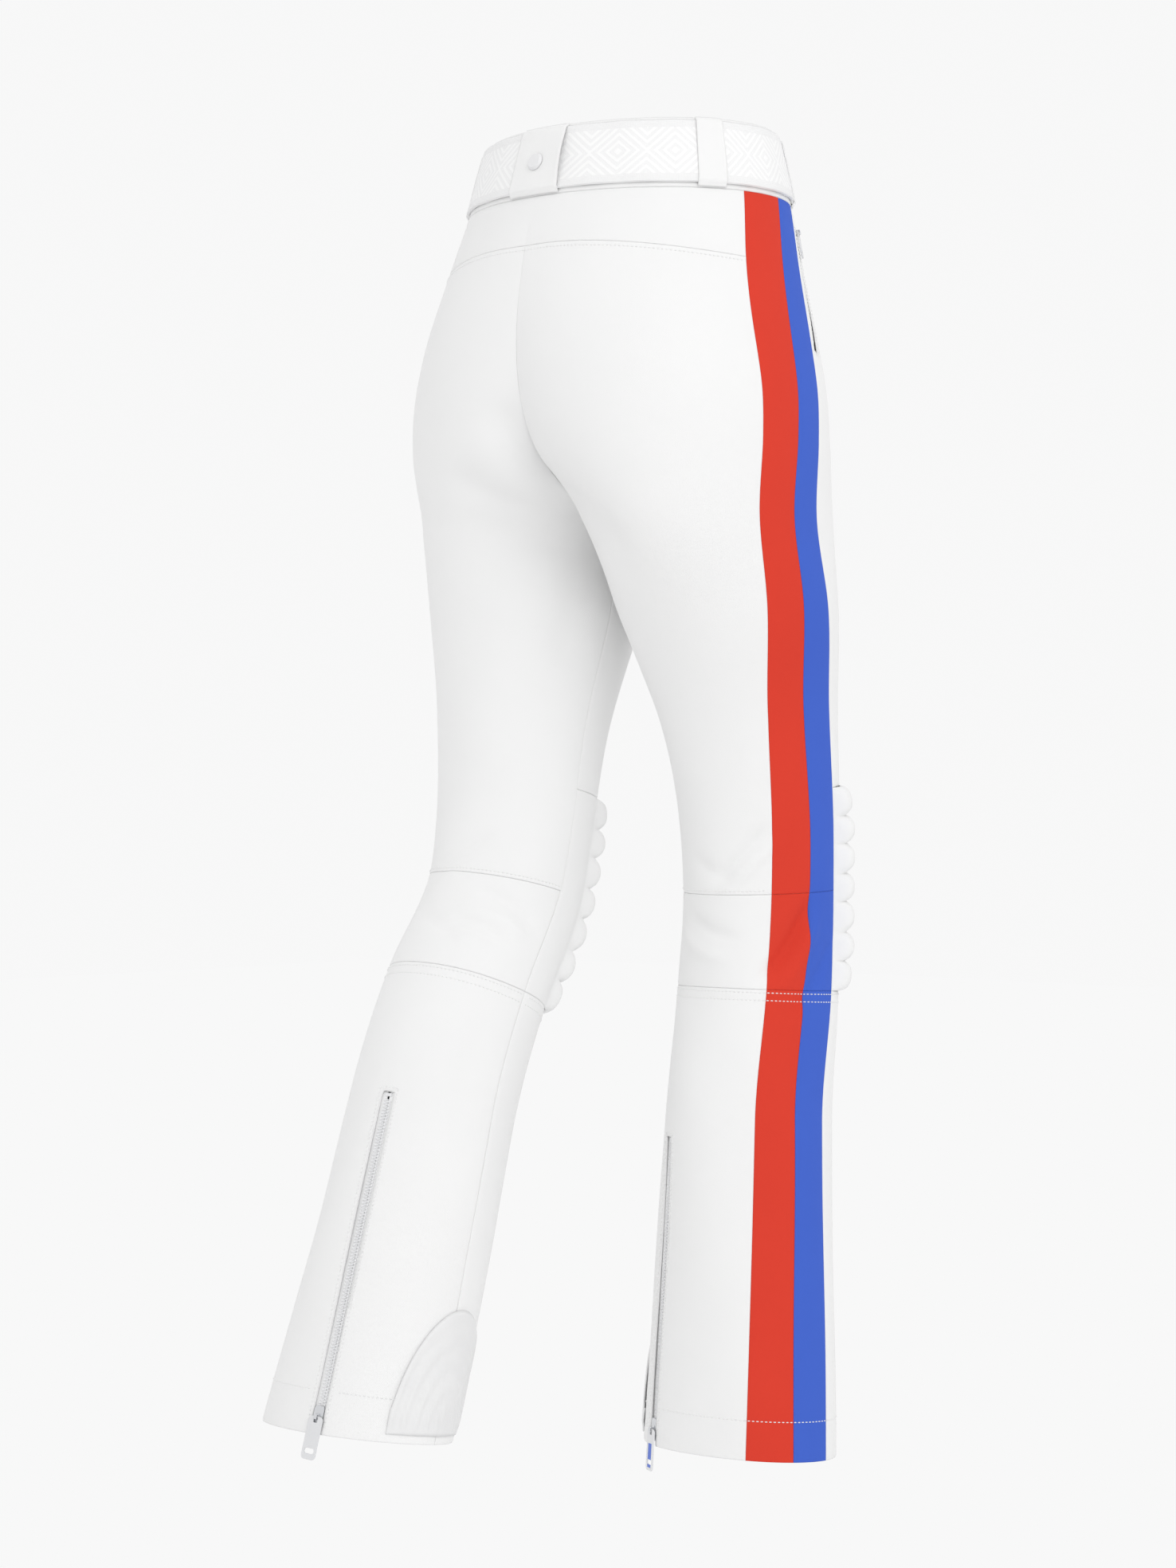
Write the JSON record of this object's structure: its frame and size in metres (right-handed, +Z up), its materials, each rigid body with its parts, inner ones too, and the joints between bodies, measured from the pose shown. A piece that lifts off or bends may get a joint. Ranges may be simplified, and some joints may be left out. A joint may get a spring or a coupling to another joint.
{
  "type": "ski pants",
  "caption": "Slim ski pants with flared hems, side stripes, quilted knee pads, an elastic belt, fly, pocket and leg zips, in a worn walking shape.",
  "frame": {"origin": "middle of the waist opening, level with the top of the waistband", "axes": "+Z up out of the waist, -Y to the front, +X to the wearer's left"},
  "size_m": [0.3536, 0.4108, 1.0428],
  "materials": {
    "white_shell": "matte, laminated twill",
    "quilted_shell": "matte, quilted over wadding",
    "red_shell": "matte",
    "blue_shell": "matte",
    "lining": "smooth lining cloth",
    "belt_webbing": "woven elastic webbing",
    "zip_tape": "moulded teeth on woven tape",
    "scuff_rubber": "embossed, matte",
    "coated_metal": "satin",
    "pull_plastic": "satin",
    "right_pull": "satin",
    "buckle_plastic": "satin"
  },
  "bodies": {
    "pants": {"back_yoke": "white_shell", "belt": "belt_webbing", "belt_buckle_base": "buckle_plastic", "fly_facing": "lining", "fly_zip_tapes": "zip_tape", "left_back_belt_loop": "white_shell", "left_back_panel": "white_shell", "left_blue_knee_stripe": "blue_shell", "left_blue_thigh_stripe": "blue_shell", "left_front_belt_loop": "white_shell", "left_front_panel": "white_shell", "left_knee_back": "white_shell", "left_knee_pad": "quilted_shell", "left_pocket_bag": "lining", "left_pocket_zip_tapes": "zip_tape", "left_red_knee_stripe": "red_shell", "left_red_thigh_stripe": "red_shell", "right_back_belt_loop": "white_shell", "right_back_panel": "white_shell", "right_blue_knee_stripe": "blue_shell", "right_blue_thigh_stripe": "blue_shell", "right_front_belt_loop": "white_shell", "right_front_panel": "white_shell", "right_knee_back": "white_shell", "right_knee_pad": "quilted_shell", "right_pocket_bag": "lining", "right_pocket_zip_tapes": "zip_tape", "right_red_knee_stripe": "red_shell", "right_red_thigh_stripe": "red_shell", "waistband": "white_shell", "waistband_facing": "lining"},
    "right_shin": {"right_lower_back_panel": "white_shell", "right_lower_front_panel": "white_shell", "right_red_shin_stripe": "red_shell", "right_blue_shin_stripe": "blue_shell", "right_gaiter": "lining", "right_scuff_guard": "scuff_rubber", "right_leg_zip_tapes": "zip_tape"},
    "left_shin": {"left_lower_back_panel": "white_shell", "left_lower_front_panel": "white_shell", "left_red_shin_stripe": "red_shell", "left_blue_shin_stripe": "blue_shell", "left_gaiter": "lining", "left_scuff_guard": "scuff_rubber", "left_leg_zip_tapes": "zip_tape"},
    "right_leg_slider": {"right_leg_zip_slider": "coated_metal"},
    "right_leg_pull": {"right_leg_zip_pull": "right_pull"},
    "left_leg_slider": {"left_leg_zip_slider": "coated_metal"},
    "left_leg_pull": {"left_leg_zip_pull": "pull_plastic"},
    "right_pocket_slider": {"right_pocket_zip_slider": "coated_metal"},
    "right_pocket_pull": {"right_pocket_zip_pull": "pull_plastic"},
    "left_pocket_slider": {"left_pocket_zip_slider": "coated_metal"},
    "left_pocket_pull": {"left_pocket_zip_pull": "pull_plastic"},
    "fly_slider": {"fly_zip_slider": "coated_metal"},
    "fly_pull": {"fly_zip_pull": "pull_plastic"},
    "buckle_lever": {"belt_buckle_lever": "buckle_plastic"},
    "back_loop": {"centre_back_loop": "white_shell", "centre_back_snap": "coated_metal"}
  },
  "joints": [
    {"name": "right_knee", "type": "hinge", "parent": "pants", "child": "right_shin", "pos_m": [-0.0849, -0.0564, -0.632], "axis": [1, 0, 0], "range_deg": [-12, 55], "deforming": ["right_knee_back", "right_knee_pad", "right_red_knee_stripe", "right_blue_knee_stripe"]},
    {"name": "left_knee", "type": "hinge", "parent": "pants", "child": "left_shin", "pos_m": [0.0827, 0.0829, -0.632], "axis": [1, 0, 0], "range_deg": [-16, 50], "deforming": ["left_knee_back", "left_knee_pad", "left_red_knee_stripe", "left_blue_knee_stripe"]},
    {"name": "right_leg_zip_slide", "type": "slide", "parent": "right_shin", "child": "right_leg_slider", "axis": [-0.0136, -0.0673, 0.9976], "range_m": [0, 0.208]},
    {"name": "right_leg_pull_swing", "type": "hinge", "parent": "right_leg_slider", "child": "right_leg_pull", "pos_m": [-0.05033, 0.03609, -1.00953], "axis": [0.8918, -0.452, -0.0183], "range_deg": [0, 150]},
    {"name": "right_pocket_zip_slide", "type": "slide", "parent": "pants", "child": "right_pocket_slider", "axis": [-0.3175, 0.1595, -0.9347], "range_m": [0, 0.095]},
    {"name": "right_pocket_pull_swing", "type": "hinge", "parent": "right_pocket_slider", "child": "right_pocket_pull", "pos_m": [-0.1273, -0.05022, -0.07731], "axis": [-0.427, 0.8561, 0.2911], "range_deg": [0, 150]},
    {"name": "left_leg_zip_slide", "type": "slide", "parent": "left_shin", "child": "left_leg_slider", "axis": [-0.0207, -0.2745, 0.9614], "range_m": [0, 0.208]},
    {"name": "left_leg_pull_swing", "type": "hinge", "parent": "left_leg_slider", "child": "left_leg_pull", "pos_m": [0.07734, 0.27225, -0.9825], "axis": [0.9825, 0.1722, 0.0704], "range_deg": [0, 150]},
    {"name": "left_pocket_zip_slide", "type": "slide", "parent": "pants", "child": "left_pocket_slider", "axis": [0.3175, 0.1595, -0.9347], "range_m": [0, 0.095]},
    {"name": "left_pocket_pull_swing", "type": "hinge", "parent": "left_pocket_slider", "child": "left_pocket_pull", "pos_m": [0.1273, -0.05022, -0.07731], "axis": [-0.427, -0.8561, -0.2911], "range_deg": [0, 150]},
    {"name": "fly_zip_slide", "type": "slide", "parent": "pants", "child": "fly_slider", "axis": [0, 0.0587, -0.9983], "range_m": [0, 0.104]},
    {"name": "fly_pull_swing", "type": "hinge", "parent": "fly_slider", "child": "fly_pull", "pos_m": [0, -0.10737, -0.07016], "axis": [-1, 0, 0], "range_deg": [0, 150]},
    {"name": "buckle_lever_open", "type": "hinge", "parent": "pants", "child": "buckle_lever", "pos_m": [0.022, -0.11179, -0.028], "axis": [0, 0, 1], "range_deg": [0, 80]},
    {"name": "back_loop_open", "type": "hinge", "parent": "pants", "child": "back_loop", "pos_m": [0, 0.0995, 0.0008], "axis": [1, 0, 0], "range_deg": [0, 100]}
  ]
}
